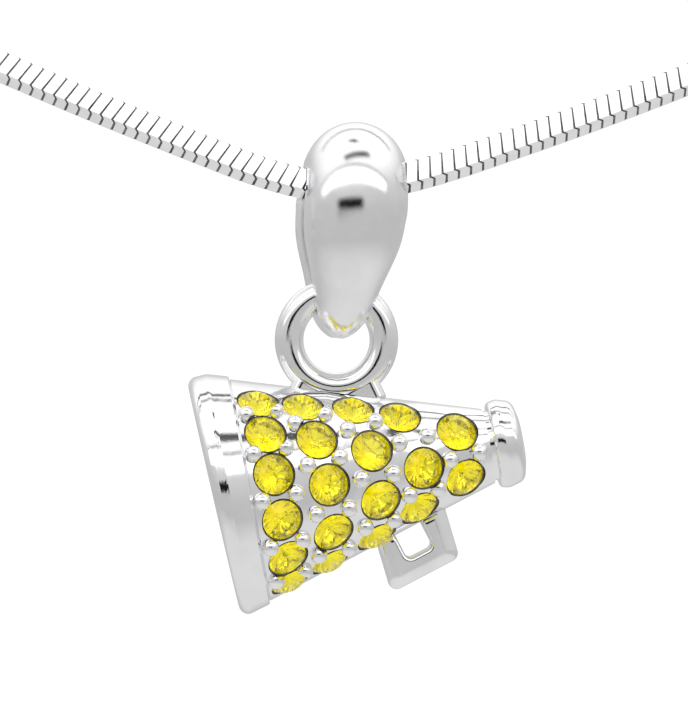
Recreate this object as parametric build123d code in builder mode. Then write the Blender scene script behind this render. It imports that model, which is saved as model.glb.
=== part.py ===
from build123d import *
import math
import os

os.makedirs("parts", exist_ok=True)

# A cheer-megaphone charm hanging in a puffed bail on a square snake chain.
# Frame: +X along the megaphone, from its bell to its mouthpiece, +Z up, and the front faces -Y.
# The origin is the middle of the chain inside the bail. All sizes are in millimetres.

# ---- Driving dimensions -------------------------------------------------------------------

# Chain
chain_side = 1.2
chain_corner = 0.1
chain_roll = 20.0
chain_seat_radius = 6.0
chain_points = [
    (-18.77, 6.58),
    (-14.27, 4.63),
    (-9.65, 2.72),
    (-2.2, -0.19),
    (2.2, 0.19),
    (9.2, 2.59),
    (13.8, 4.29),
    (18.17, 6.01),
]
bend_share = 0.45

# End fittings
cap_diameter = 2.2
cap_length = 2.6
cap_grip = 1.4
cap_clearance = 0.03
eye_radius = 0.9
eye_wire = 0.28
jump_radius = 1.55
jump_wire = 0.3
link_gap = 0.08

# Clasp
clasp_width = 5.0
clasp_height = 9.0
clasp_section = 1.15
clasp_thickness = 1.6
clasp_pin_diameter = 0.7
clasp_cheek = 0.28
clasp_wire = 0.3
clasp_eye_slack = 0.17
clasp_shoulder_share = 0.52
clasp_toe_share = 0.35
knuckle_wall = 0.38
trigger_gap = 0.12
trigger_fill = 0.56
pin_clearance = 0.03
spring_wall = 0.2
spring_clearance = 0.04

# Bail
bail_axis_height = 0.12
bail_bore_radius = 1.2
bail_crown = 1.78
bail_half_width = 2.45
bail_drop = 7.36
bail_turn = 13.0
bail_lean = 6.5
bail_slot_radius = 0.95
bail_belly_drop = 1.22
bail_stretch = 1.41
bail_taper = [
    (0.0, 1.0, 0.0),
    (0.16, 0.96, 0.03),
    (0.34, 0.86, 0.2),
    (0.57, 0.68, 0.68),
    (0.78, 0.53, 1.15),
    (0.905, 0.375, 1.5),
    (1.0, 0.08, 2.3),
]
bail_flat_share = 0.42

# Hanger ring
ring_radius = 2.26
ring_wire = 0.69
ring_clearance = 0.1
ring_settle = 0.08
foot_length = 4.7
foot_width = 1.25
foot_neck_share = 0.78
foot_lip_share = 0.62
foot_reach = 1.6
foot_left_step = 0.15
foot_right_step = 0.35
foot_crown = 0.1
foot_round = 0.5

# Megaphone
horn_tilt = 10.4
horn_turn = 2.0
horn_drop = 6.39
horn_hang = 5.95
horn_length = 11.57
horn_bell_radius = 5.37
horn_tip_radius = 1.8
horn_wall = 1.05
throat_radius = 0.85
rim_length = 1.73
rim_step = 0.16
rim_flare = 0.28
rim_ridge_share = 0.6
rim_ridge_round = 0.6
rim_fall = 0.1
rim_round = 0.46
rim_inner_round = 0.18
rim_rake = 2.6
rim_thinning = 0.25
rim_spare = 0.6
seam_bevel = 0.07
mouthpiece_length = 1.62
mouthpiece_radius = 2.14
mouthpiece_round = 0.5
mouthpiece_neck = 0.2
mouthpiece_neck_step = 0.12
mouthpiece_ridge_share = 0.42
mouthpiece_fall = 0.22
mouthpiece_rise = 0.1
mouthpiece_edge = 0.22
mouthpiece_dome = 0.18
mouthpiece_funnel = 0.35

# Handle
handle_share = 0.4754
handle_length = 3.68
handle_depth = 2.35
handle_strap = 1.1
handle_width = 1.7
handle_rake = 11.0
handle_round = 0.42
handle_shoulder = 0.7
handle_inner_round = 0.2
handle_bite = 0.5
handle_foot_step = 0.1
handle_hole_round = 0.3
handle_front_trim = 0.12
handle_back_trim = 0.25

# Stones: one row per ring of stones, counted from the bell. A row is its distance from the
# seam and its bow towards the bell, both as shares of the horn's length, and its angles.
stone_nominal = 1.9
stone_facets = 16
stone_crown = 0.32
stone_table = 0.56
stone_girdle = 0.07
stone_pavilion = 0.66
stone_culet = 0.06
stone_gap = 0.12
seat_clearance = 0.09
seat_drop = 0.04
seat_lift = 1.5
row_tilt = 5.0
stone_rows = [
    (0.108, 0.013, (54.5, 31.5, 8.0, -17.5, -42.5, -65.5)),
    (0.3198, 0.0605, (54.0, 26.5, -4.0, -37.0, -66.0)),
    (0.5229, 0.0648, (54.0, 15.0, -25.5, -63.0)),
    (0.7131, 0.0864, (48.0, -8.0, -51.0)),
    (0.8773, 0.0, (28.0, -35.5)),
]

# Beads that hold the stones
bead_radius = 0.42
bead_lift = 0.06
bead_rim_at = 0.45
bead_tip_share = 0.9464

# ---- Frames and derived sizes -------------------------------------------------------------


def turned(vector, axis, degrees):
    """Returns the vector turned about an axis through the origin."""
    return Vector(*vector).rotate(Axis((0, 0, 0), axis), degrees)


across_y = Vector(0, 1, 0)
downwards = Vector(0, 0, -1)
bail_pivot = Vector(0, 0, bail_axis_height)
bail_up = turned((0, 0, 1), (0, 1, 0), bail_lean)
bail_side = turned(turned((1, 0, 0), (0, 0, 1), bail_turn), (0, 1, 0), bail_lean)
bail_belly = bail_pivot - bail_up * bail_belly_drop
bail_plane = Plane(origin=bail_belly, x_dir=bail_side, z_dir=bail_up)

ring_centre = bail_pivot - bail_up * bail_drop
ring_centre = Vector(ring_centre.X, 0, ring_centre.Z - ring_settle)
slot_foot = ring_centre.Z + ring_radius - ring_wire - ring_clearance + bail_slot_radius

horn_axis = turned(turned((1, 0, 0), (0, 1, 0), -horn_tilt), (0, 0, 1), horn_turn)
horn_up = turned((0, 0, 1), (0, 1, 0), -horn_tilt).rotate(Axis((0, 0, 0), (0, 0, 1)), horn_turn)
horn_front = horn_axis.cross(horn_up)
horn_mouth = ring_centre - Vector(0, 0, horn_drop) - horn_axis * horn_hang
horn_seam = horn_mouth + horn_axis * rim_length
horn_profile = Plane(origin=horn_seam, x_dir=horn_up, z_dir=horn_up.cross(horn_axis))
horn_spin = Axis(horn_seam, horn_axis)
horn_slope = math.atan((horn_bell_radius - horn_tip_radius) / horn_length)
wall_across = horn_wall / math.cos(horn_slope)


def horn_radius(along):
    """Returns the horn's outer radius at a distance from its bell seam."""
    return horn_bell_radius - along * math.tan(horn_slope)


def surface_plane(along, angle, sink=0.0):
    """Returns a plane on the horn's skin, its normal pointing out of the metal.

    Args:
        along: distance from the bell seam, along the axis.
        angle: degrees round the axis, 0 at the front and 90 at the top.
        sink: how far the plane lies below the skin.
    """
    turn = math.radians(angle)
    outward = horn_up * math.sin(turn) + horn_front * math.cos(turn)
    normal = outward * math.cos(horn_slope) + horn_axis * math.sin(horn_slope)
    along_skin = horn_axis * math.cos(horn_slope) - outward * math.sin(horn_slope)
    point = horn_seam + horn_axis * along + outward * horn_radius(along) - normal * sink
    return Plane(origin=point, x_dir=along_skin, z_dir=normal)


def stone_along(row, angle):
    """Returns how far a stone lies from the bell seam: each row bows towards the bell."""
    share, bow, _ = stone_rows[row]
    return (share - bow * math.sin(math.radians(angle + row_tilt)) ** 2) * horn_length


places = {}
for row, (_, _, angles) in enumerate(stone_rows):
    for column, angle in enumerate(angles):
        places[(row, column)] = (stone_along(row, angle), angle)

points = [surface_plane(*place).origin for place in places.values()]
tightest = min((p - q).length for i, p in enumerate(points) for q in points[:i])
stone_diameter = min(stone_nominal, tightest - stone_gap)
stone_radius = stone_diameter / 2
seat_radius = stone_radius + seat_clearance


def seat_plane(along, angle):
    """Returns the plane of a stone's girdle, sunk a little more where the horn is narrow."""
    radius = horn_radius(along)
    sagitta = radius - math.sqrt(radius**2 - stone_radius**2)
    return surface_plane(along, angle, seat_drop + 0.5 * sagitta)


seats = {key: seat_plane(*place) for key, place in places.items()}


def bead_places():
    """Returns where the beads sit: in the hollow between each three neighbouring stones."""
    found = []
    rows = len(stone_rows)
    for row in range(rows):
        count = len(stone_rows[row][2])
        for first in range(count - 1):
            a = places[(row, first)]
            b = places[(row, first + 1)]
            middle = (a[1] + b[1]) / 2
            for other in (row - 1, row + 1):
                if other < 0:
                    found.append((bead_rim_at, middle))
                elif other < rows:
                    near = [places[(other, k)] for k in range(len(stone_rows[other][2]))]
                    c = min(near, key=lambda place: abs(place[1] - middle))
                    found.append(((a[0] + b[0] + c[0]) / 3, (a[1] + b[1] + c[1]) / 3))
                else:
                    found.append((bead_tip_share * horn_length, middle))
    return found


with BuildSketch(horn_profile) as horn_core:
    with BuildLine():
        Polyline(
            (0, 0),
            (horn_radius(0), 0),
            (horn_radius(horn_length), horn_length),
            (0, horn_length),
            close=True,
        )
    make_face()


def hoop_section(centre, axis, across, radius, wire):
    """Returns the round section of a ring, set towards across, and the axis to revolve it about."""
    section_plane = Plane(origin=centre, x_dir=across, z_dir=axis.cross(across))
    with BuildSketch(section_plane) as section:
        with Locations((radius, 0)):
            Circle(wire)
    return section.sketch, Axis(centre, axis)


def save(part, name):
    """Labels a finished piece and writes its STEP file."""
    part.label = name
    export_step(part, f"parts/{name}.step")
    print(name, "volume", round(part.volume, 3), "solids", len(part.solids()))


# ---- Snake chain --------------------------------------------------------------------------

route = [Vector(x, 0, z) for x, z in chain_points]
corner_radii = []
for before, corner, after in zip(route, route[1:], route[2:]):
    into = corner - before
    out = after - corner
    turn = math.radians(into.get_angle(out))
    reach = bend_share * min(into.length, out.length)
    radius = reach / math.tan(turn / 2)
    if turn > math.radians(8):
        radius = min(radius, chain_seat_radius)
    corner_radii.append(radius)
print("cord radii", [round(radius, 1) for radius in corner_radii])

with BuildPart() as snake_chain:
    with BuildLine() as chain_line:
        FilletPolyline(*route, radius=corner_radii)
    chain_path = chain_line.wire()
    with BuildSketch(Plane(origin=chain_path @ 0, x_dir=(0, 1, 0), z_dir=chain_path % 0)):
        RectangleRounded(chain_side, chain_side, chain_corner, rotation=-chain_roll)
    sweep(path=chain_path)
chain_area = chain_side**2 - (4 - math.pi) * chain_corner**2
print("chain length", round(chain_path.length, 3))
print("section times length", round(chain_area * chain_path.length, 3))
save(snake_chain.part, "snake_chain")

# ---- End caps, each with an eye -----------------------------------------------------------

cap_ends = {
    "left": (chain_path @ 0, (chain_path % 0) * -1),
    "right": (chain_path @ 1, chain_path % 1),
}
eye_centres = {}
for side, (end, outward) in cap_ends.items():
    mouth = Plane(origin=end - outward * cap_grip, x_dir=(0, 1, 0), z_dir=outward)
    roll = -chain_roll if side == "right" else chain_roll
    eye_at = end + outward * (cap_length - cap_grip + eye_radius - eye_wire * 0.5)
    eye_centres[side] = eye_at
    pocket = chain_side + 2 * cap_clearance
    with BuildPart() as cap:
        with BuildSketch(mouth):
            Circle(cap_diameter / 2)
        extrude(amount=cap_length)
        closed = cap.faces().sort_by(Axis(end, outward))[-1]
        chamfer(closed.edges(), cap_diameter * 0.16)
        with BuildSketch(mouth):
            RectangleRounded(pocket, pocket, chain_corner, rotation=roll)
        extrude(amount=cap_grip, mode=Mode.SUBTRACT)
        eye, eye_axis = hoop_section(eye_at, across_y, outward, eye_radius, eye_wire)
        revolve(eye, axis=eye_axis)
    save(cap.part, f"chain_cap_{side}")

# ---- Jump rings, each hanging in an eye ---------------------------------------------------

jump_centres = {}
for side, name in (("left", "clasp_jump_ring"), ("right", "end_ring")):
    at = eye_centres[side]
    hang = at - Vector(0, 0, eye_radius - eye_wire - jump_wire - link_gap + jump_radius)
    jump_centres[side] = hang
    with BuildPart() as jump_ring:
        hoop, hoop_axis = hoop_section(hang, Vector(1, 0, 0), downwards, jump_radius, jump_wire)
        revolve(hoop, axis=hoop_axis)
    save(jump_ring.part, name)

# ---- Lobster clasp: body, trigger, pin and spring -----------------------------------------

clasp_eye_radius = jump_wire + link_gap + clasp_eye_slack + clasp_wire
clasp_eye = jump_centres["left"] + downwards * (jump_radius + clasp_eye_slack)
clasp_plane = Plane(origin=clasp_eye, x_dir=(1, 0, 0), z_dir=(0, -1, 0))
hook_radius = clasp_width / 2
hook_at = clasp_eye_radius - clasp_height + hook_radius
shoulder_radius = hook_radius * clasp_shoulder_share
shoulder_at = -clasp_eye_radius - shoulder_radius * 0.7
pin_x = -shoulder_radius * 0.45
pin_z = shoulder_at - shoulder_radius * 0.35
pin_at = (pin_x, pin_z)
pin_radius = clasp_pin_diameter / 2
knuckle_radius = pin_radius + knuckle_wall
slot_width = clasp_thickness - 2 * clasp_cheek
trigger_thickness = slot_width * trigger_fill
inner_radius = hook_radius - clasp_section
toe_radius = inner_radius * clasp_toe_share
inner_foot = pin_z - knuckle_radius - trigger_gap - toe_radius
gate_low = hook_at - inner_radius * 0.35
gate_tip = hook_at - inner_radius * 0.1

with BuildSketch(clasp_plane) as clasp_outline:
    with Locations((0, shoulder_at)):
        Circle(shoulder_radius)
    with Locations((0, hook_at)):
        Circle(hook_radius)
    make_hull()
    with BuildSketch(clasp_plane, mode=Mode.SUBTRACT):
        with Locations((0, inner_foot)):
            Circle(toe_radius)
        with Locations((0, hook_at)):
            Circle(inner_radius)
        make_hull()

with BuildSketch(clasp_plane) as clasp_gate:
    with BuildLine():
        Polyline(
            (pin_x + knuckle_radius * 0.4, pin_z),
            (pin_x - hook_radius, pin_z + knuckle_radius),
            (-hook_radius * 1.3, gate_low),
            (-inner_radius * 0.5, gate_tip),
            (-inner_radius * 0.2, inner_foot),
            close=True,
        )
    make_face()

with BuildSketch(clasp_plane) as pin_round:
    with Locations(pin_at):
        Circle(pin_radius)

with BuildPart() as clasp_body:
    extrude(clasp_outline.sketch, amount=clasp_thickness / 2, both=True)
    extrude(clasp_gate.sketch, amount=clasp_thickness, both=True, mode=Mode.SUBTRACT)
    with BuildSketch(clasp_plane):
        with Locations(pin_at):
            Circle(knuckle_radius)
    extrude(amount=clasp_thickness / 2, both=True)
    with BuildSketch(clasp_plane):
        with Locations(pin_at):
            Circle(knuckle_radius + trigger_gap)
        with BuildLine():
            Polyline(
                pin_at,
                (pin_x - 2 * knuckle_radius, pin_z + 1.2 * knuckle_radius),
                (pin_x - 2 * knuckle_radius, pin_z - 3 * knuckle_radius),
                (pin_x + 2 * knuckle_radius, pin_z - 3 * knuckle_radius),
                close=True,
            )
        make_face()
    extrude(amount=slot_width / 2, both=True, mode=Mode.SUBTRACT)
    extrude(pin_round.sketch, amount=clasp_thickness, both=True, mode=Mode.SUBTRACT)
    eye, eye_axis = hoop_section(clasp_eye, across_y, downwards, clasp_eye_radius, clasp_wire)
    revolve(eye, axis=eye_axis)
save(clasp_body.part, "clasp_body")

with BuildPart() as clasp_pin:
    extrude(pin_round.sketch, amount=clasp_thickness / 2, both=True)
save(clasp_pin.part, "clasp_pin")

trigger_plane = clasp_plane.offset(slot_width / 2 - trigger_gap / 2)
with BuildPart() as clasp_trigger:
    with BuildSketch(clasp_plane):
        with BuildLine():
            Polyline(
                (-hook_radius * 1.3, pin_z - knuckle_radius * 0.6),
                (-hook_radius * 1.3, gate_low + trigger_gap),
                (-inner_radius * 0.5, gate_tip + trigger_gap),
                (-inner_radius * 0.3, inner_foot),
                (pin_x, pin_z - knuckle_radius * 0.6),
                close=True,
            )
        make_face()
    extrude(amount=clasp_thickness / 2, both=True)
    extrude(
        clasp_outline.sketch,
        amount=clasp_thickness / 2,
        both=True,
        mode=Mode.INTERSECT,
    )
    with BuildSketch(clasp_plane):
        with Locations(pin_at):
            Circle(knuckle_radius + 2 * trigger_gap)
    extrude(amount=clasp_thickness, both=True, mode=Mode.SUBTRACT)
    with BuildSketch(trigger_plane):
        with Locations(pin_at):
            Circle(knuckle_radius - trigger_gap / 2)
        with BuildLine():
            Polyline(
                (pin_x + knuckle_radius * 0.4, pin_z - knuckle_radius * 0.7),
                (pin_x - knuckle_radius * 0.9, pin_z + knuckle_radius * 0.1),
                (-hook_radius * 0.86, pin_z + knuckle_radius * 0.55),
                (-hook_radius * 0.96, pin_z - knuckle_radius * 0.1),
                (-hook_radius * 0.72, pin_z - knuckle_radius * 1.9),
                (pin_x - knuckle_radius * 0.1, pin_z - knuckle_radius * 1.7),
                close=True,
            )
        make_face()
    extrude(amount=-trigger_thickness)
    with BuildSketch(clasp_plane):
        with Locations(pin_at):
            Circle(pin_radius + pin_clearance)
    extrude(amount=clasp_thickness, both=True, mode=Mode.SUBTRACT)
save(clasp_trigger.part, "clasp_trigger")

spring_plane = clasp_plane.offset(spring_clearance - slot_width / 2)
with BuildPart() as clasp_spring:
    with BuildSketch(spring_plane):
        with Locations(pin_at):
            Circle(pin_radius + spring_clearance + spring_wall)
            Circle(pin_radius + spring_clearance, mode=Mode.SUBTRACT)
    extrude(amount=slot_width - trigger_thickness - trigger_gap)
save(clasp_spring.part, "clasp_spring")
print("clasp pin", clasp_plane.from_local_coords((pin_x, pin_z, 0)))

# ---- Bail: a puffed loop, domed all over, that swings on the chain ------------------------

bail_outer = bail_bore_radius + bail_crown


def puffed_outline(half_width, half_depth):
    """Returns the outline of a section of the bail, a half ellipse at its front and back."""
    flat = min(bail_bore_radius, half_depth * bail_flat_share)
    bulge = half_depth - flat
    with BuildLine() as outline:
        front = EllipticalCenterArc((0, -flat), half_width, bulge, start_angle=180, arc_size=180)
        Line(front @ 1, (half_width, flat))
        EllipticalCenterArc((0, flat), half_width, bulge, start_angle=0, arc_size=180)
        Line((-half_width, flat), front @ 0)
    return outline.edges()


with BuildPart() as bail_dome:
    with BuildSketch(Plane.XY):
        with BuildLine():
            dome = EllipticalCenterArc(
                (0, -bail_bore_radius),
                bail_half_width,
                bail_crown,
                start_angle=180,
                arc_size=180,
            )
            Polyline(dome @ 1, (bail_half_width, 0), (-bail_half_width, 0), dome @ 0)
        make_face()
    revolve(axis=Axis.X, revolution_arc=-180)
    scale(by=(1, 1, bail_stretch))

with BuildPart() as bail:
    add(bail_dome.part.moved(bail_plane.location))
    for share, width_share, thinning in bail_taper:
        with BuildSketch(bail_plane.offset(-share * (bail_drop - bail_belly_drop))):
            make_face(puffed_outline(bail_half_width * width_share, bail_outer - thinning))
    loft()
    with BuildSketch(Plane.YZ):
        with Locations((0, bail_axis_height)):
            Circle(bail_bore_radius)
        with Locations((0, slot_foot)):
            Circle(bail_slot_radius)
        make_hull()
    extrude(amount=2 * bail_drop, both=True, mode=Mode.SUBTRACT)
    groove_wire = ring_wire + ring_clearance
    groove, ring_axis = hoop_section(ring_centre, across_y, downwards, ring_radius, groove_wire)
    revolve(groove, axis=ring_axis, mode=Mode.SUBTRACT)
save(bail.part, "bail")

# ---- Hanger ring and its foot -------------------------------------------------------------

with BuildPart() as hanger_ring:
    with BuildSketch(Plane(origin=ring_centre, x_dir=(1, 0, 0), z_dir=(0, -1, 0))):
        with BuildLine():
            Polyline(
                (-ring_radius * foot_neck_share, -ring_radius * foot_lip_share),
                (-foot_length / 2, -ring_radius - foot_left_step),
                (-foot_length / 2, -ring_radius - foot_reach),
                (foot_length / 2, -ring_radius - foot_reach),
                (foot_length / 2, -ring_radius - foot_right_step),
                (ring_radius * foot_neck_share, -ring_radius * foot_lip_share),
                (0, -ring_radius - foot_crown),
                close=True,
            )
        make_face()
    extrude(amount=foot_width / 2, both=True)
    foot_sides = hanger_ring.faces().filter_by(Axis.Y)
    fillet(foot_sides.edges(), foot_round)
    hoop, hoop_axis = hoop_section(ring_centre, across_y, downwards, ring_radius, ring_wire)
    revolve(hoop, axis=hoop_axis)
    revolve(horn_core.sketch, axis=horn_spin, mode=Mode.SUBTRACT)
save(hanger_ring.part, "hanger_ring")

# ---- Horn: the hollow cone with its beads and the seats of the stones ---------------------

seat_planes = [seat.location for seat in seats.values()]
bead_locations = [surface_plane(*place, -bead_lift).location for place in bead_places()]
bore_start = (horn_radius(0) - wall_across - throat_radius) / math.tan(horn_slope)

with BuildPart() as horn:
    with BuildSketch(horn_profile):
        with BuildLine():
            Polyline(
                (horn_radius(0) - wall_across, 0),
                (horn_radius(0) - seam_bevel, 0),
                (horn_radius(seam_bevel), seam_bevel),
                (horn_radius(horn_length), horn_length),
                (throat_radius, horn_length),
                (throat_radius, bore_start),
                close=True,
            )
        make_face()
    revolve(axis=horn_spin)
    with Locations(*bead_locations):
        Sphere(bead_radius)
    with BuildSketch(horn_profile):
        with BuildLine():
            Polyline(
                (0, 0),
                (horn_radius(0) - wall_across, 0),
                (throat_radius, bore_start),
                (throat_radius, horn_length),
                (0, horn_length),
                close=True,
            )
        make_face()
    revolve(axis=horn_spin, mode=Mode.SUBTRACT)
    with Locations(*seat_planes):
        Cylinder(
            seat_radius,
            seat_lift + stone_girdle,
            align=(Align.CENTER, Align.CENTER, Align.MIN),
            mode=Mode.SUBTRACT,
        )
    with Locations(*[seat.offset(-stone_girdle).location for seat in seats.values()]):
        Cylinder(
            seat_radius,
            stone_girdle,
            align=(Align.CENTER, Align.CENTER, Align.MIN),
            mode=Mode.SUBTRACT,
        )
        Cone(
            stone_radius,
            stone_culet,
            stone_pavilion,
            rotation=(180, 0, 0),
            align=(Align.CENTER, Align.CENTER, Align.MIN),
            mode=Mode.SUBTRACT,
        )
save(horn.part, "horn")

# ---- Bell rim, mouthpiece and handle ------------------------------------------------------

lip_plane = Plane(
    origin=horn_mouth,
    x_dir=horn_front,
    z_dir=turned(horn_axis, horn_front, rim_rake),
)
rim_inner = horn_radius(0) - wall_across

ridge_radius = horn_radius(0) + rim_step + rim_flare
ridge_along = -rim_length * rim_ridge_share


def off_axis(edge):
    """Returns how far the middle of an edge lies from the horn's axis."""
    arm = edge @ 0.5 - horn_seam
    return (arm - horn_axis * arm.dot(horn_axis)).length


with BuildPart() as bell_rim:
    with BuildSketch(horn_profile) as rim_sketch:
        with BuildLine():
            Polyline(
                (rim_inner, 0),
                (horn_radius(0) + rim_step - seam_bevel, 0),
                (horn_radius(0) + rim_step, -seam_bevel),
                (ridge_radius, ridge_along),
                (ridge_radius - rim_fall, -rim_length - rim_spare),
                (rim_inner + rim_thinning, -rim_length - rim_spare),
                close=True,
            )
        make_face()
        ridge = rim_sketch.vertices().sort_by_distance((ridge_radius, ridge_along))[0]
        fillet(ridge, rim_ridge_round)
    revolve(axis=horn_spin)
    split(bisect_by=lip_plane, keep=Keep.TOP)
    lip = bell_rim.faces().sort_by(Axis(horn_seam, horn_axis))[0]
    fillet(max(lip.edges(), key=off_axis), rim_round)
    lip = bell_rim.faces().filter_by(GeomType.PLANE).sort_by(Axis(horn_seam, horn_axis))[0]
    fillet(min(lip.edges(), key=off_axis), rim_inner_round)
save(bell_rim.part, "bell_rim")

neck_radius = horn_tip_radius - mouthpiece_neck_step
cup_start = horn_length + mouthpiece_neck
cup_end = horn_length + mouthpiece_length
cup_ridge = horn_length + mouthpiece_length * mouthpiece_ridge_share

with BuildPart() as mouthpiece:
    with BuildSketch(horn_profile) as mouthpiece_sketch:
        with BuildLine():
            Polyline(
                (throat_radius, horn_length),
                (neck_radius, horn_length),
                (neck_radius, cup_start),
                (mouthpiece_radius - mouthpiece_rise, cup_start),
                (mouthpiece_radius, cup_ridge),
                (mouthpiece_radius - mouthpiece_fall, cup_end - mouthpiece_dome),
                (throat_radius + mouthpiece_funnel, cup_end),
                (throat_radius, cup_end - mouthpiece_funnel),
                close=True,
            )
        make_face()
        for radius, along, rounding in (
            (mouthpiece_radius - mouthpiece_rise, cup_start, mouthpiece_edge),
            (mouthpiece_radius, cup_ridge, mouthpiece_round),
            (mouthpiece_radius - mouthpiece_fall, cup_end - mouthpiece_dome, mouthpiece_round),
        ):
            corners = mouthpiece_sketch.vertices()
            fillet(corners.sort_by_distance((radius, along))[0], rounding)
    revolve(axis=horn_spin)
save(mouthpiece.part, "mouthpiece")

handle_root = surface_plane(handle_share * horn_length, -90)
handle_plane = Plane(
    origin=handle_root.origin,
    x_dir=handle_root.x_dir,
    z_dir=handle_root.x_dir.cross(handle_root.z_dir),
)
lean = handle_depth * math.tan(math.radians(handle_rake))
hole_front = handle_strap - handle_front_trim
hole_back = handle_length - handle_strap - handle_back_trim
hole_depth = handle_depth - handle_strap



def on_hole(edge):
    """Whether an edge of the handle runs round the inside of its hole."""
    spot = handle_plane.to_local_coords(edge.position_at(0.5))
    across = hole_front - handle_hole_round / 2 < spot.X < hole_back + handle_hole_round / 2
    return across and spot.Y < hole_depth + handle_hole_round / 2


with BuildPart() as handle:
    with BuildSketch(handle_plane) as handle_sketch:
        with BuildLine():
            Polyline(
                (handle_foot_step, -handle_bite),
                (-lean, handle_depth),
                (handle_length - lean, handle_depth),
                (handle_length + handle_foot_step, -handle_bite),
                close=True,
            )
        make_face()
        outer_corners = handle_sketch.vertices().group_by(Axis.Y)[-1]
        fillet(outer_corners, handle_round)
    extrude(amount=handle_width / 2, both=True)
    sides = handle.faces().filter_by(Axis(handle_root.origin, handle_plane.z_dir))
    fillet(sides.edges(), handle_shoulder)
    with BuildSketch(handle_plane) as handle_hole:
        with BuildLine():
            Polyline(
                (hole_front, -2 * handle_bite),
                (hole_front, hole_depth),
                (hole_back, hole_depth),
                (hole_back, -2 * handle_bite),
                close=True,
            )
        make_face()
        inner_corners = handle_hole.vertices().group_by(Axis.Y)[-1]
        fillet(inner_corners, handle_hole_round)
    extrude(amount=handle_width, both=True, mode=Mode.SUBTRACT)
    flanks = handle.faces().filter_by(Axis(handle_root.origin, handle_plane.z_dir))
    fillet([edge for edge in flanks.edges() if on_hole(edge)], handle_inner_round)
    revolve(horn_core.sketch, axis=horn_spin, mode=Mode.SUBTRACT)
save(handle.part, "handle")

# ---- Stones -------------------------------------------------------------------------------

for (row, column), seat in seats.items():
    with BuildPart() as stone:
        with BuildSketch(seat.offset(stone_crown)):
            RegularPolygon(stone_radius * stone_table, stone_facets)
        with BuildSketch(seat):
            RegularPolygon(stone_radius, stone_facets)
        loft(ruled=True)
        with BuildSketch(seat):
            RegularPolygon(stone_radius, stone_facets)
        extrude(amount=-stone_girdle)
        with BuildSketch(seat.offset(-stone_girdle)):
            RegularPolygon(stone_radius, stone_facets)
        with BuildSketch(seat.offset(-stone_girdle - stone_pavilion)):
            RegularPolygon(stone_culet, stone_facets)
        loft(ruled=True)
    save(stone.part, f"stone_{row + 1}_{column + 1}")
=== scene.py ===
"""A cheer-megaphone pendant on a square snake chain, dressed over its CAD frame."""

import logging
import math
from dataclasses import dataclass, field
from enum import Enum

import bmesh
import bpy
from mathutils import Matrix, Vector


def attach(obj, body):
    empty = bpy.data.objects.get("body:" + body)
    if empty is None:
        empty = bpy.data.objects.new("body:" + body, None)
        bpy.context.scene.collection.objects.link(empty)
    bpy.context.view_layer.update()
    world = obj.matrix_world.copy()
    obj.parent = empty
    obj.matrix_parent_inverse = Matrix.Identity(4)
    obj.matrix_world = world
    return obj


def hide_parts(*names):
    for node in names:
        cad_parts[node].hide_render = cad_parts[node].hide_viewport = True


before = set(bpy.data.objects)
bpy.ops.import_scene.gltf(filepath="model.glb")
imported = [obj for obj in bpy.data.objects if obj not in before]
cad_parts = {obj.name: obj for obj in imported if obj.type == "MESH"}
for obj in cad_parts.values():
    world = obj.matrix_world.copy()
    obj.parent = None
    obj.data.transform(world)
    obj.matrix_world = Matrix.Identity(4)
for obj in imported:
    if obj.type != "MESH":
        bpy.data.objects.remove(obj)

MM = 0.001
LOG = logging.getLogger("pendant")
NODES: dict[str, bpy.types.Object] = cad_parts


class Slot(Enum):
    """The record's material slots, by name."""

    CHAIN = "snake_chain_plate"
    CHARM = "charm_plate"
    STONE = "yellow_stone"


class Body(Enum):
    """The moving bodies that new pieces ride on."""

    CHAIN = "chain"
    CHARM = "charm"


# ---- Shader help -------------------------------------------------------------------------


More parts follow.
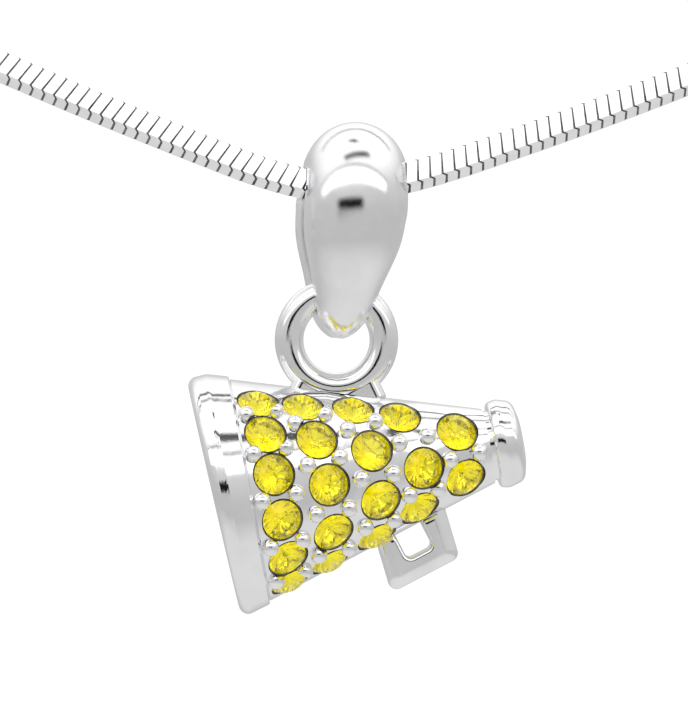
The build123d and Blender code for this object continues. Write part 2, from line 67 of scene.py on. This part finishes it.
class Shader:
    """A material's node tree, with short ways to add nodes and join them."""

    def __init__(self, name: str) -> None:
        """Starts a material that holds one Principled shader.

        Args:
            name: the material's name.
        """
        self.material = bpy.data.materials.new(name)
        self.material.use_nodes = True
        self.tree = self.material.node_tree
        self.surface = self.tree.nodes["Principled BSDF"]

    def add(self, kind: str, **values: object) -> bpy.types.Node:
        """Adds a node.

        Args:
            kind: the node's type.
            values: its properties, or its input values where it has an input of that name.

        Returns:
            The new node.
        """
        node = self.tree.nodes.new(kind)
        for key, value in values.items():
            socket = node.inputs.get(key.replace("_", " "))
            if socket is not None:
                socket.default_value = value
            else:
                setattr(node, key, value)
        return node

    def join(self, start: bpy.types.NodeSocket, end: bpy.types.NodeSocket) -> None:
        """Joins an output to an input."""
        self.tree.links.new(start, end)

    def set(self, **values: object) -> None:
        """Sets the shader's own sockets to plain values."""
        for key, value in values.items():
            self.surface.inputs[key.replace("_", " ")].default_value = value

    def place(self, stretch: tuple[float, float, float] = (1, 1, 1)) -> bpy.types.NodeSocket:
        """Returns the object's own coordinates, in millimetres.

        Args:
            stretch: how the pattern is squeezed along each axis.

        Returns:
            The socket to read them from.
        """
        coordinates = self.add("ShaderNodeTexCoord")
        mapping = self.add("ShaderNodeMapping")
        mapping.inputs["Scale"].default_value = tuple(1000 * s for s in stretch)
        self.join(coordinates.outputs["Object"], mapping.inputs["Vector"])
        return mapping.outputs["Vector"]

    def noise(
        self, place: bpy.types.NodeSocket, scale: float, detail: float = 2.0, rough: float = 0.5
    ) -> bpy.types.NodeSocket:
        """Adds a cloudy pattern.

        Args:
            place: the coordinates it reads, in millimetres.
            scale: its repeats to a millimetre.
            detail: its octaves.
            rough: how strong the small octaves are.

        Returns:
            Its value, about a half on average.
        """
        cloud = self.add("ShaderNodeTexNoise", Scale=scale, Detail=detail, Roughness=rough)
        self.join(place, cloud.inputs["Vector"])
        return cloud.outputs["Fac"]

    def span(
        self,
        value: bpy.types.NodeSocket,
        low: float,
        high: float,
        start: float = 0.3,
        end: float = 0.7,
    ) -> bpy.types.NodeSocket:
        """Stretches a pattern to a range.

        Args:
            value: the pattern.
            low: the result at start.
            high: the result at end.
            start: the pattern's value that becomes low.
            end: the pattern's value that becomes high.

        Returns:
            The stretched value.
        """
        node = self.add("ShaderNodeMapRange", From_Min=start, From_Max=end, To_Min=low, To_Max=high)
        self.join(value, node.inputs["Value"])
        return node.outputs["Result"]

    def blend(
        self, share: bpy.types.NodeSocket, first: tuple[float, ...], second: tuple[float, ...]
    ) -> bpy.types.NodeSocket:
        """Mixes two colours by a pattern.

        Args:
            share: the pattern, 0 for the first colour.
            first: the first colour.
            second: the second colour.

        Returns:
            The mixed colour.
        """
        node = self.add("ShaderNodeMix", data_type="RGBA")
        self.join(share, node.inputs["Factor"])
        node.inputs["A"].default_value = (*first, 1.0)
        node.inputs["B"].default_value = (*second, 1.0)
        return node.outputs["Result"]

    def emboss(
        self, height: bpy.types.NodeSocket, depth: float, before: bpy.types.NodeSocket | None = None
    ) -> bpy.types.NodeSocket:
        """Adds a bump.

        Args:
            height: the pattern.
            depth: how deep it is, in millimetres.
            before: a bump that comes first.

        Returns:
            The bumped normal.
        """
        node = self.add("ShaderNodeBump", Strength=1.0, Distance=depth * MM)
        self.join(height, node.inputs["Height"])
        if before is not None:
            self.join(before, node.inputs["Normal"])
        return node.outputs["Normal"]


# ---- Finishes ----------------------------------------------------------------------------


@dataclass(frozen=True)
class MirrorPlate:
    """Bright plate over a buffed casting: a mirror with a faint ripple and fine hairlines."""

    name: str
    colour: tuple[float, float, float] = (0.92, 0.92, 0.93)
    shade: tuple[float, float, float] = (0.86, 0.86, 0.87)
    gloss: tuple[float, float] = (0.025, 0.075)
    ripple: float = 0.45
    ripple_depth: float = 0.010
    hairline_depth: float = 0.0006
    soft_edge: float = 0.0

    def buff(self, shader: Shader) -> bpy.types.NodeSocket | None:
        """Rounds the shading over edges that the buffing wheel would have softened.

        Args:
            shader: the material's nodes.

        Returns:
            The rounded normal, or None where the edges are left alone.
        """
        if not self.soft_edge:
            return None
        edge = shader.add("ShaderNodeBevel", samples=12, Radius=self.soft_edge * MM)
        return edge.outputs["Normal"]

    def material(self) -> bpy.types.Material:
        """Builds the finish.

        Returns:
            The material.
        """
        shader = Shader(self.name)
        place = shader.place()
        cloud = shader.noise(place, 0.9, 3.0)
        tone = shader.blend(shader.span(cloud, 0.0, 1.0), self.colour, self.shade)
        shader.join(tone, shader.surface.inputs["Base Color"])
        wipe = shader.noise(shader.place((1.0, 1.0, 9.0)), 2.4, 4.0, 0.6)
        shader.join(shader.span(wipe, *self.gloss), shader.surface.inputs["Roughness"])
        swell = shader.emboss(
            shader.noise(place, self.ripple, 1.0), self.ripple_depth, self.buff(shader)
        )
        hair = shader.noise(shader.place((2.0, 2.0, 40.0)), 3.0, 2.0)
        brushed = shader.emboss(hair, self.hairline_depth, swell)
        shader.join(brushed, shader.surface.inputs["Normal"])
        shader.set(Metallic=1.0)
        return shader.material


@dataclass(frozen=True)
class PaintedSeamShade:
    """Painted shade: a dark, dull metal laid deep between the links and round the stones, where
    shade falls.
    """

    name: str = "link_core_shade"
    colour: tuple[float, float, float] = (0.26, 0.26, 0.27)
    shade: tuple[float, float, float] = (0.09, 0.09, 0.095)

    def material(self) -> bpy.types.Material:
        """Builds the finish.

        Returns:
            The material.
        """
        shader = Shader(self.name)
        place = shader.place()
        cloud = shader.noise(place, 2.0, 3.0)
        tone = shader.blend(shader.span(cloud, 0.0, 1.0), self.colour, self.shade)
        shader.join(tone, shader.surface.inputs["Base Color"])
        shader.join(shader.span(cloud, 0.35, 0.6), shader.surface.inputs["Roughness"])
        shader.set(Metallic=0.8)
        return shader.material


@dataclass(frozen=True)
class CutGlass:
    """Clear yellow glass of a cut stone's crown."""

    name: str = "yellow_glass"
    colour: tuple[float, float, float] = (1.0, 0.97, 0.10)
    deep: tuple[float, float, float] = (1.0, 0.95, 0.05)
    refraction: float = 1.54

    def material(self) -> bpy.types.Material:
        """Builds the finish.

        Returns:
            The material.
        """
        shader = Shader(self.name)
        place = shader.place()
        cloud = shader.noise(place, 0.8, 2.0)
        tone = shader.blend(shader.span(cloud, 0.0, 1.0), self.colour, self.deep)
        shader.join(tone, shader.surface.inputs["Base Color"])
        wear = shader.noise(place, 5.0, 3.0)
        shader.join(shader.span(wear, 0.0, 0.035, 0.45, 0.8), shader.surface.inputs["Roughness"])
        shader.set(Transmission_Weight=1.0, IOR=self.refraction, Specular_IOR_Level=0.3)
        return shader.material


@dataclass(frozen=True)
class GoldFoil:
    """The mirror foil on a stone's pavilion, seen through the yellow glass, with a painted glow: a
    faint emission that stands in for light caught in the stone.
    """

    name: str = "pavilion_foil_and_glow"
    colour: tuple[float, float, float] = (1.0, 0.94, 0.22)
    shade: tuple[float, float, float] = (0.90, 0.80, 0.10)
    # Colour of the painted glow, which the foil gives off though it is no lamp.
    glow: tuple[float, float, float] = (0.97, 0.84, 0.0)

    def material(self) -> bpy.types.Material:
        """Builds the finish.

        Returns:
            The material.
        """
        shader = Shader(self.name)
        place = shader.place()
        cloud = shader.noise(place, 1.6, 2.0)
        tone = shader.blend(shader.span(cloud, 0.0, 1.0), self.colour, self.shade)
        shader.join(tone, shader.surface.inputs["Base Color"])
        shader.join(shader.span(cloud, 0.03, 0.08), shader.surface.inputs["Roughness"])
        # Painted glow: the foil emits faintly, standing in for the light trapped in a foiled stone.
        shader.set(Metallic=0.85, Emission_Strength=0.22)
        shader.surface.inputs["Emission Color"].default_value = (*self.glow, 1.0)
        return shader.material


# ---- Mesh help ---------------------------------------------------------------------------


def make_piece(
    name: str, mesh_work: bmesh.types.BMesh, materials: list[bpy.types.Material], smooth: bool
) -> bpy.types.Object:
    """Turns finished mesh work into an object at the origin.

    Args:
        name: the piece's name.
        mesh_work: the mesh, in metres and in its place.
        materials: its materials, in the order that its faces number them.
        smooth: whether its faces are shaded smooth.

    Returns:
        The new object.
    """
    mesh = bpy.data.meshes.new(name)
    for face in mesh_work.faces:
        face.smooth = smooth
    mesh_work.to_mesh(mesh)
    mesh_work.free()
    for material in materials:
        mesh.materials.append(material)
    piece = bpy.data.objects.new(name, mesh)
    bpy.context.scene.collection.objects.link(piece)
    return piece


def dress(node: str, material: bpy.types.Material) -> None:
    """Gives a CAD node a finish, and reports it."""
    for slot in NODES[node].material_slots:
        slot.material = material
    LOG.info("dressed %s in %s", node, material.name)


# ---- Chain -------------------------------------------------------------------------------


@dataclass
class SnakeChain:
    """A taut length of square snake chain: a core, and the folded links over it."""

    route: tuple[tuple[float, float, float], ...] = (
        (-0.01877, 0.0, 0.00658),
        (-0.01427, 0.0, 0.00463),
        (-0.00965, 0.0, 0.00272),
        (-0.0022, 0.0, -0.00019),
        (0.0022, 0.0, 0.00019),
        (0.0092, 0.0, 0.00259),
        (0.0138, 0.0, 0.00429),
        (0.01817, 0.0, 0.00601),
    )
    length: float = 0.03926
    side: float = 0.0012
    pitch: float = 0.0006
    gap: float = 0.00006
    corner: float = 0.00010
    slant: float = 0.00026
    back_slant: float = 0.00010
    edge_round: float = 0.000025
    roll: float = 20.0
    core_share: float = 0.44
    fittings: tuple[str, ...] = (
        "chain_cap_left",
        "chain_cap_right",
        "clasp_jump_ring",
        "end_ring",
        "clasp_body",
        "clasp_pin",
        "clasp_spring",
        "clasp_trigger",
    )
    points: list[Vector] = field(default_factory=list)

    def build_core(self) -> bpy.types.Object:
        """Builds the line that the links are threaded on.

        Returns:
            The core, a curve on the chain's route.
        """
        curve = bpy.data.curves.new("chain_core", "CURVE")
        curve.dimensions = "3D"
        curve.resolution_u = 24
        spline = curve.splines.new("NURBS")
        spline.points.add(len(self.route) - 1)
        for point, place in zip(spline.points, self.route):
            point.co = (*place, 1.0)
        spline.order_u = 3
        spline.use_endpoint_u = True
        core = bpy.data.objects.new("chain_core", curve)
        bpy.context.scene.collection.objects.link(core)
        bpy.context.view_layer.update()
        line = bpy.data.meshes.new_from_object(core)
        self.points = [vertex.co.copy() for vertex in line.vertices]
        bpy.data.meshes.remove(line)
        curve.bevel_depth = self.side * self.core_share
        curve.bevel_resolution = 3
        curve.use_fill_caps = True
        # The core wears painted shade, so the gaps between the links show dark.
        curve.materials.append(PaintedSeamShade().material())
        return core

    def shape_link(self) -> bpy.types.Mesh:
        """Shapes one link: a square bar with clipped corners, its two ends folded in a zigzag.

        Returns:
            The link's mesh, its start at the origin and its length along X.
        """
        work = bmesh.new()
        bmesh.ops.create_cube(work, size=1.0)
        bmesh.ops.scale(work, vec=(self.pitch - self.gap, self.side, self.side), verts=work.verts)
        bmesh.ops.translate(work, vec=((self.pitch - self.gap) / 2, 0, 0), verts=work.verts)
        long_edges = [
            edge for edge in work.edges if abs(edge.verts[0].co.x - edge.verts[1].co.x) > self.gap
        ]
        bmesh.ops.bevel(
            work,
            geom=long_edges,
            offset=self.corner,
            affect="EDGES",
            segments=1,
            profile=0.5,
            material=-1,
        )
        half = self.side / 2 - self.corner / 4
        for vertex in work.verts:
            if abs(vertex.co.y) > half:
                lean = vertex.co.z if vertex.co.y < 0 else -vertex.co.z
                vertex.co.x += math.copysign(self.slant / 2, lean)
            else:
                lean = vertex.co.y if vertex.co.z > 0 else -vertex.co.y
                vertex.co.x += math.copysign(self.back_slant / 2, lean)
        # The ends that face each other take painted shade, for the dark gaps between links.
        ends = []
        for face in work.faces:
            if len(face.verts) == 8:
                face.material_index = 1
                ends.extend(face.edges)
        bmesh.ops.bevel(
            work,
            geom=ends,
            offset=self.edge_round,
            affect="EDGES",
            segments=1,
            profile=0.5,
            material=-1,
        )
        link = bpy.data.meshes.new("link")
        work.to_mesh(link)
        work.free()
        return link

    def station(self, distance: float) -> Matrix:
        """Finds a place on the line.

        Args:
            distance: how far along it, in metres.

        Returns:
            The place, with X along the line and Y across it.
        """
        for start, end in zip(self.points, self.points[1:]):
            step = (end - start).length
            if distance <= step:
                break
            distance -= step
        along = (end - start).normalized()
        across = Matrix.Rotation(-math.radians(self.roll), 3, along) @ Vector((0, 1, 0))
        turn = Matrix((along, across, along.cross(across))).transposed()
        return Matrix.Translation(start + along * distance) @ turn.to_4x4()

    def build_links(
        self, plate: bpy.types.Material, seam: bpy.types.Material
    ) -> bpy.types.Object:
        """Threads the links on the line.

        Args:
            plate: the finish of their outsides.
            seam: the painted shade on the ends that face each other, dark where the gaps between
                links fall in shade.

        Returns:
            The links, as one piece.
        """
        total = sum((b - a).length for a, b in zip(self.points, self.points[1:]))
        count = int((total - self.slant) / self.pitch)
        start = (total - count * self.pitch) / 2
        link = self.shape_link()
        work = bmesh.new()
        for number in range(count):
            before = len(work.verts)
            work.from_mesh(link)
            work.verts.ensure_lookup_table()
            place = self.station(start + number * self.pitch)
            bmesh.ops.transform(work, matrix=place, verts=work.verts[before:])
        return make_piece("chain_links", work, [plate, seam], smooth=False)

    def build(self) -> None:
        core = self.build_core()
        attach(core, Body.CHAIN.value)
        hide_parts("snake_chain")
        plate = MirrorPlate("chain_plate", ripple_depth=0.0).material()
        # The links' facing ends share the core's painted shade.
        links = self.build_links(plate, core.data.materials[0])
        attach(links, Body.CHAIN.value)
        plate = MirrorPlate("fittings_plate_mirror").material()
        for name in self.fittings:
            dress(name, plate)
        LOG.info("built %s and %s", core.name, links.name)


# ---- Stones ------------------------------------------------------------------------------


@dataclass
class CutStone:
    """One cut stone, its size and seat read from its CAD solid."""

    node: str
    star_share: float = 0.80
    star_rise: float = 0.50
    mains_share: float = 0.62
    mains_drop: float = 0.42
    culet_share: float = 0.05

    def seat(self) -> tuple[Matrix, float, float, float, float]:
        """Reads the stone's seat from its solid.

        Returns:
            The seat's place with Z out of the metal, then the girdle's radius and height, the
            table's height and the culet's depth, all measured from the girdle's upper edge.
        """
        mesh = NODES[self.node].data
        areas: dict[tuple[float, ...], float] = {}
        for face in mesh.polygons:
            key = tuple(round(value, 2) for value in face.normal)
            areas[key] = areas.get(key, 0.0) + face.area
        facing = max(areas, key=lambda key: areas[key])
        table = [f for f in mesh.polygons if tuple(round(v, 2) for v in f.normal) == facing]
        up = sum((face.normal * face.area for face in table), Vector()).normalized()
        middle = sum((face.center * face.area for face in table), Vector())
        middle /= sum(face.area for face in table)
        rises = [(v.co - middle).dot(up) for v in mesh.vertices]
        reach = [(v.co - middle - up * h).length for v, h in zip(mesh.vertices, rises)]
        radius = max(reach)
        girdle = [h for h, r in zip(rises, reach) if r > 0.98 * radius]
        side = up.cross(Vector((0, 0, 1)) if abs(up.z) < 0.9 else Vector((0, 1, 0))).normalized()
        turn = Matrix((side, up.cross(side), up)).transposed().to_4x4()
        place = Matrix.Translation(middle + up * max(girdle)) @ turn
        return place, radius, max(girdle) - min(girdle), -max(girdle), max(girdle) - min(rises)

    def build(self, glass: bpy.types.Material, foil: bpy.types.Material) -> bpy.types.Object:
        """Cuts the stone: table, stars, kites and girdle above, mains and halves below.

        Args:
            glass: the crown's material.
            foil: the pavilion's material.

        Returns:
            The stone.
        """
        place, radius, girdle, crown, depth = self.seat()
        table = radius * 0.56
        half_turn = math.radians(22.5)
        rings = (
            (8, table, crown, 0.0),
            (8, radius * self.star_share, crown * self.star_rise, half_turn),
            (16, radius, 0.0, 0.0),
            (16, radius, -girdle, 0.0),
            (8, radius * self.mains_share, -girdle - (depth - girdle) * self.mains_drop, half_turn),
            (8, radius * self.culet_share, -depth, 0.0),
        )
        work = bmesh.new()
        for count, reach, height, twist in rings:
            matrix = Matrix.Translation((0, 0, height)) @ Matrix.Rotation(twist, 4, "Z")
            bmesh.ops.create_circle(work, segments=count, radius=reach, matrix=matrix)
        hull = bmesh.ops.convex_hull(work, input=work.verts)
        inside = [item for item in hull["geom_interior"] if isinstance(item, bmesh.types.BMVert)]
        bmesh.ops.delete(work, geom=inside, context="VERTS")
        loose = [edge for edge in work.edges if not edge.link_faces]
        bmesh.ops.delete(work, geom=loose, context="EDGES")
        bmesh.ops.dissolve_limit(
            work, angle_limit=math.radians(2.0), verts=work.verts, edges=work.edges
        )
        bmesh.ops.recalc_face_normals(work, faces=work.faces)
        for face in work.faces:
            face.material_index = int(face.calc_center_median().z < -girdle)
        bmesh.ops.transform(work, matrix=place, verts=work.verts)
        stone = make_piece(f"cut_{self.node}", work, [glass, foil], smooth=False)
        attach(stone, Body.CHARM.value)
        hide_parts(self.node)
        return stone


@dataclass
class SeatShade:
    """Painted shade: a dark ring in the groove round each stone, between its girdle and the bore it
    sits in.
    """

    width: float = 0.00009
    floor_share: float = 0.6
    rim_share: float = 0.85
    overlap: float = 0.00002
    lift: float = 0.00002
    steps: int = 48

    def build(self, stones: list[CutStone]) -> bpy.types.Object:
        """Lays a narrow dark ring of painted shade in each bore.

        Args:
            stones: the stones it goes round.

        Returns:
            The rings, as one piece.
        """
        work = bmesh.new()
        for stone in stones:
            place, radius, girdle, _, _ = stone.seat()
            lower = place @ Matrix.Translation((0, 0, -girdle + self.lift))
            rim = place @ Matrix.Translation((0, 0, self.lift))
            loops = []
            for reach, matrix in (
                (radius - self.overlap, lower),
                (radius + self.width * self.floor_share, lower),
                (radius + self.width * self.rim_share, rim),
            ):
                ring = bmesh.ops.create_circle(
                    work, segments=self.steps, radius=reach, matrix=matrix
                )
                loops.append(list({edge for v in ring["verts"] for edge in v.link_edges}))
            for inner, outer in zip(loops, loops[1:]):
                bmesh.ops.bridge_loops(work, edges=inner + outer)
        bmesh.ops.recalc_face_normals(work, faces=work.faces)
        # The ring is painted shade, dark where the seat groove falls in shade.
        shade = make_piece("seat_shade", work, [PaintedSeamShade("seat_black").material()], smooth=True)
        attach(shade, Body.CHARM.value)
        return shade


# ---- Pendant -----------------------------------------------------------------------------


@dataclass
class Pendant:
    """The bail, the hanger ring and the stone-set megaphone."""

    castings: tuple[str, ...] = ("hanger_ring", "horn", "bell_rim", "mouthpiece", "handle")

    def build(self) -> None:
        """Dresses the castings and sets the stones."""
        wheel = MirrorPlate("bail_mirror", ripple=0.35, ripple_depth=0.006, soft_edge=0.9)
        dress("bail", wheel.material())
        plate = MirrorPlate("charm_mirror").material()
        for name in self.castings:
            dress(name, plate)
        glass = CutGlass().material()
        foil = GoldFoil().material()
        stones = [CutStone(name) for name in sorted(NODES) if name.startswith("stone_")]
        for stone in stones:
            stone.build(glass, foil)
            LOG.info("cut %s", stone.node)
        # Rings of painted shade round the stones.
        SeatShade().build(stones)


# ---- Studio ------------------------------------------------------------------------------


@dataclass(frozen=True)
class Card:
    """A flat card in the studio, seen only in reflections."""

    name: str
    azimuth: float
    elevation: float
    width: float
    height: float
    light: float


@dataclass
class Studio:
    """A white tent round the pendant: sweep, sky, glowing cards and camera."""

    reach: float = 0.5
    sweep_drop: float = 0.075
    sweep_reach: float = 0.9
    lens: float = 200.0
    view_size: float = 0.03386
    target: tuple[float, float, float] = (-0.000476, 0.0, -0.00802)
    sky_light: float = 1.25
    sky_stops: tuple[tuple[float, float], ...] = (
        (0.0, 0.62),
        (0.2, 0.6),
        (0.35, 0.44),
        (0.5, 0.46),
        (0.66, 0.56),
        (0.8, 0.9),
        (1.0, 1.0),
    )
    cards: tuple[Card, ...] = (
        Card("camera_hole", 0.0, 7.0, 44.0, 10.5, 0.0),
        Card("front_bank", 0.0, 35.0, 120.0, 16.0, 1.6),
        Card("front_bar", 0.0, 47.0, 120.0, 2.5, 0.25),
        Card("lamp_stand", 12.0, 60.0, 40.0, 8.0, 0.1),
        Card("roof_hole", -1.0, 84.0, 12.0, 6.0, 0.0),
        Card("back_bar", 180.0, 64.0, 90.0, 4.0, 0.1),
    )

    def glow(self, name: str, light: float) -> bpy.types.Material:
        """Builds a plain glowing card.

        Args:
            name: the material's name.
            light: how bright it is, 1 for white.

        Returns:
            The material.
        """
        shader = Shader(name)
        shader.set(Roughness=1.0, Emission_Strength=light)
        shader.surface.inputs["Base Color"].default_value = (0.0, 0.0, 0.0, 1.0)
        shader.surface.inputs["Emission Color"].default_value = (1.0, 1.0, 1.0, 1.0)
        return shader.material

    def build_sweep(self) -> None:
        """Builds the pale floor, curved up into a wall all round."""
        work = bmesh.new()
        reach = self.sweep_reach
        bmesh.ops.create_grid(work, x_segments=1, y_segments=1, size=reach)
        border = [edge for edge in work.edges if edge.is_boundary]
        wall = bmesh.ops.extrude_edge_only(work, edges=border)
        raised = [item for item in wall["geom"] if isinstance(item, bmesh.types.BMVert)]
        bmesh.ops.translate(work, vec=(0, 0, reach * 1.4), verts=raised)
        fold = [edge for edge in work.edges if len(edge.link_faces) == 2]
        bmesh.ops.bevel(
            work,
            geom=fold,
            offset=reach * 0.4,
            affect="EDGES",
            segments=16,
            profile=0.5,
            material=-1,
        )
        bmesh.ops.translate(work, vec=(0, 0, -self.sweep_drop), verts=work.verts)
        sweep = make_piece("sweep", work, [self.glow("sweep_white", 1.05)], smooth=True)
        sweep.visible_glossy = False
        sweep.visible_transmission = False
        sweep.visible_diffuse = False
        sweep.visible_shadow = False

    def build_card(self, card: Card) -> None:
        """Hangs one card round the pendant, facing it."""
        azimuth = math.radians(card.azimuth)
        elevation = math.radians(card.elevation)
        out = Vector(
            (
                math.sin(azimuth) * math.cos(elevation),
                -math.cos(azimuth) * math.cos(elevation),
                math.sin(elevation),
            )
        )
        work = bmesh.new()
        bmesh.ops.create_grid(work, x_segments=1, y_segments=1, size=0.5)
        size = (
            2 * self.reach * math.tan(math.radians(card.width / 2)),
            2 * self.reach * math.tan(math.radians(card.height / 2)),
            1.0,
        )
        bmesh.ops.scale(work, vec=size, verts=work.verts)
        turn = out.to_track_quat("Z", "Y").to_matrix().to_4x4()
        place = Matrix.Translation(Vector(self.target) + out * self.reach) @ turn
        bmesh.ops.transform(work, matrix=place, verts=work.verts)
        piece = make_piece(card.name, work, [self.glow(card.name, card.light)], smooth=False)
        piece.visible_camera = False
        piece.visible_shadow = False
        piece.visible_diffuse = False

    def build_sky(self) -> None:
        """Lights the tent: white overhead, greyest a little below the horizon."""
        world = bpy.data.worlds.new("tent")
        bpy.context.scene.world = world
        world.use_nodes = True
        tree = world.node_tree
        ground = tree.nodes["Background"]
        place = tree.nodes.new("ShaderNodeTexCoord")
        split = tree.nodes.new("ShaderNodeSeparateXYZ")
        ramp = tree.nodes.new("ShaderNodeValToRGB")
        shift = tree.nodes.new("ShaderNodeMapRange")
        shift.inputs["From Min"].default_value = -1.0
        tree.links.new(place.outputs["Generated"], split.inputs["Vector"])
        tree.links.new(split.outputs["Z"], shift.inputs["Value"])
        tree.links.new(shift.outputs["Result"], ramp.inputs["Fac"])
        stops = self.sky_stops
        elements = ramp.color_ramp.elements
        elements[0].position = stops[0][0]
        elements[0].color = (stops[0][1],) * 3 + (1.0,)
        elements[1].position = stops[-1][0]
        elements[1].color = (stops[-1][1],) * 3 + (1.0,)
        for position, value in stops[1:-1]:
            elements.new(position).color = (value,) * 3 + (1.0,)
        tree.links.new(ramp.outputs["Color"], ground.inputs["Color"])
        ground.inputs["Strength"].default_value = self.sky_light

    def build_camera(self) -> None:
        """Puts a long lens level with the pendant, square to its front."""
        data = bpy.data.cameras.new("camera")
        data.lens = self.lens
        data.sensor_width = 36.0
        data.clip_start = 0.01
        data.clip_end = 10.0
        camera = bpy.data.objects.new("camera", data)
        away = self.view_size / 2 / (data.sensor_width / 2 / self.lens)
        camera.location = Vector(self.target) - Vector((0, away, 0))
        camera.rotation_euler = (math.radians(90), 0, 0)
        bpy.context.scene.collection.objects.link(camera)
        bpy.context.scene.camera = camera

    def build(self) -> None:
        """Builds the studio."""
        bpy.context.scene.view_settings.view_transform = "Standard"
        self.build_camera()
        self.build_sky()
        self.build_sweep()
        for card in self.cards:
            self.build_card(card)
        LOG.info("lit the tent with %d cards", len(self.cards))


def main() -> None:
    """Builds the studio, the chain and the pendant."""
    logging.basicConfig(level=logging.INFO, format="%(message)s")
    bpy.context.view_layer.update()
    Studio().build()
    SnakeChain().build()
    Pendant().build()


if __name__ == "__main__":
    main()
